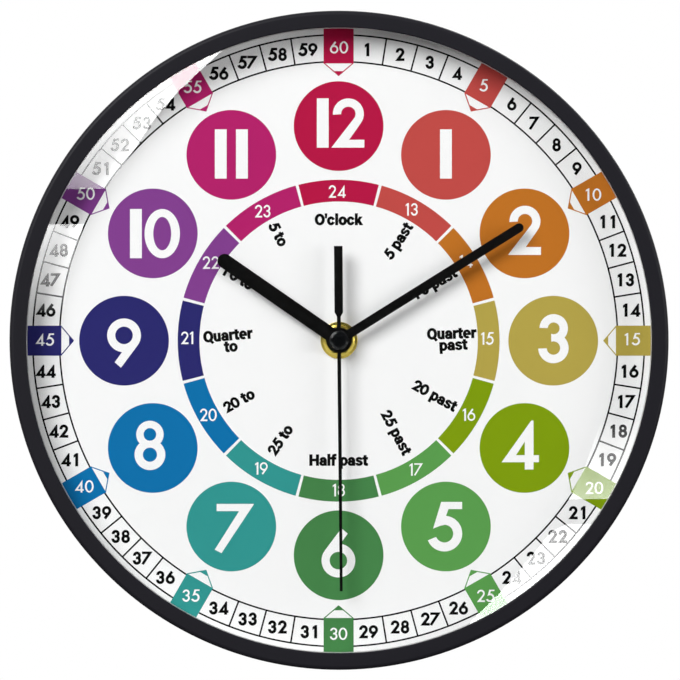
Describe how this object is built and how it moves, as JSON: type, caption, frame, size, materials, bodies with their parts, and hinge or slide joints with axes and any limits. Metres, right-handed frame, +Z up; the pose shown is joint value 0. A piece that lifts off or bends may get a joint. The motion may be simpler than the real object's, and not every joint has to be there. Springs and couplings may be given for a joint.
{
  "type": "teaching clock",
  "caption": "Round wall clock for teaching the time, with coloured hour discs, minute flags, three black hands and a quartz movement with a hanging loop.",
  "frame": {"origin": "where the nail carries the clock: under the top of the hanging loop's slot, in the plane of the wall", "axes": "+Y into the wall, +Z up, +X to the right of someone who reads the dial, which faces -Y"},
  "size_m": [0.3, 0.04, 0.3],
  "materials": {
    "case_plastic": "fine satin moulded black plastic",
    "lens_glass": "clear flat glass",
    "ring_white": "plain white plastic",
    "dial_print": "printed satin white card, twelve hour colours and plain numbers",
    "tray_plastic": "dull black moulded plastic",
    "screw_zinc": "bright zinc",
    "brass": "turned brass",
    "rubber": "black rubber",
    "movement_plastic": "fine grained moulded black plastic",
    "nylon": "natural nylon",
    "steel": "plain steel",
    "magnet": "dull sintered magnet",
    "copper_wire": "enamelled copper wire",
    "board": "green lacquered circuit board",
    "resin": "black epoxy resin",
    "battery_label": "plain printed wrap with bare metal ends",
    "hand_black": "satin black paint"
  },
  "bodies": {
    "housing": {"case_frame": "case_plastic", "lens": "lens_glass", "spacer_ring": "ring_white", "dial": "dial_print", "back_tray": "tray_plastic", "case_screw_1": "screw_zinc", "case_screw_2": "screw_zinc", "case_screw_3": "screw_zinc", "case_screw_4": "screw_zinc", "case_screw_5": "screw_zinc", "case_screw_6": "screw_zinc", "movement_case": "movement_plastic", "movement_cover": "movement_plastic", "movement_gasket": "rubber", "centre_bush": "brass", "dial_washer": "brass", "dial_nut": "brass", "middle_plate": "nylon", "stator_plate": "steel", "coil_core": "steel", "coil_bobbin": "nylon", "coil_winding": "copper_wire", "circuit_board": "board", "chip": "resin", "quartz_crystal": "steel", "positive_contact": "steel", "negative_contact": "steel"},
    "hour": {"hour_wheel": "nylon", "hour_hand": "hand_black"},
    "minute": {"cannon_pinion": "nylon", "minute_hand": "hand_black"},
    "second": {"seconds_wheel": "nylon", "seconds_arbor": "steel", "second_hand": "hand_black", "second_hand_collet": "brass", "second_hand_cap": "hand_black"},
    "motion": {"motion_wheel": "nylon"},
    "setting": {"setting_pinion": "nylon", "setting_knob": "movement_plastic"},
    "centre": {"centre_wheel": "nylon"},
    "third": {"third_wheel": "nylon"},
    "intermediate": {"intermediate_wheel": "nylon"},
    "rotor": {"rotor_pinion": "nylon", "rotor_magnet": "magnet"},
    "battery": {"battery": "battery_label"}
  },
  "joints": [
    {"name": "minute_hand_turn", "type": "hinge", "parent": "housing", "child": "minute", "pos_m": [0, 0, -0.0344], "axis": [0, 1, 0], "continuous": true},
    {"name": "hour_hand_turn", "type": "hinge", "parent": "housing", "child": "hour", "pos_m": [0, 0, -0.0344], "axis": [0, 1, 0], "continuous": true},
    {"name": "motion_wheel_turn", "type": "hinge", "parent": "housing", "child": "motion", "pos_m": [0.0096, 0, -0.0344], "axis": [0, 1, 0], "continuous": true},
    {"name": "setting_knob_turn", "type": "hinge", "parent": "housing", "child": "setting", "pos_m": [0.01862, 0, -0.03768], "axis": [0, 1, 0], "continuous": true},
    {"name": "second_hand_turn", "type": "hinge", "parent": "housing", "child": "second", "pos_m": [0, 0, -0.0344], "axis": [0, 1, 0], "continuous": true},
    {"name": "rotor_turn", "type": "hinge", "parent": "housing", "child": "rotor", "pos_m": [0.0071, 0, -0.0221], "axis": [0, 1, 0], "continuous": true},
    {"name": "intermediate_wheel_turn", "type": "hinge", "parent": "housing", "child": "intermediate", "pos_m": [0.0036, 0, -0.02816], "axis": [0, 1, 0], "continuous": true},
    {"name": "third_wheel_turn", "type": "hinge", "parent": "housing", "child": "third", "pos_m": [-0.01015, 0, -0.0307], "axis": [0, 1, 0], "continuous": true},
    {"name": "centre_wheel_turn", "type": "hinge", "parent": "housing", "child": "centre", "pos_m": [0, 0, -0.0344], "axis": [0, 1, 0], "continuous": true},
    {"name": "battery_slide", "type": "slide", "parent": "housing", "child": "battery", "axis": [0, 1, 0], "range_m": [0, 0.03]}
  ],
  "couplings": [
    {"joint": "hour_hand_turn", "follows": "minute_hand_turn", "ratio": 0.083333},
    {"joint": "motion_wheel_turn", "follows": "minute_hand_turn", "ratio": -0.33333},
    {"joint": "setting_knob_turn", "follows": "minute_hand_turn", "ratio": 1},
    {"joint": "rotor_turn", "follows": "second_hand_turn", "ratio": 30},
    {"joint": "intermediate_wheel_turn", "follows": "second_hand_turn", "ratio": -5},
    {"joint": "third_wheel_turn", "follows": "second_hand_turn", "ratio": -0.13333},
    {"joint": "centre_wheel_turn", "follows": "second_hand_turn", "ratio": 0.016667}
  ]
}
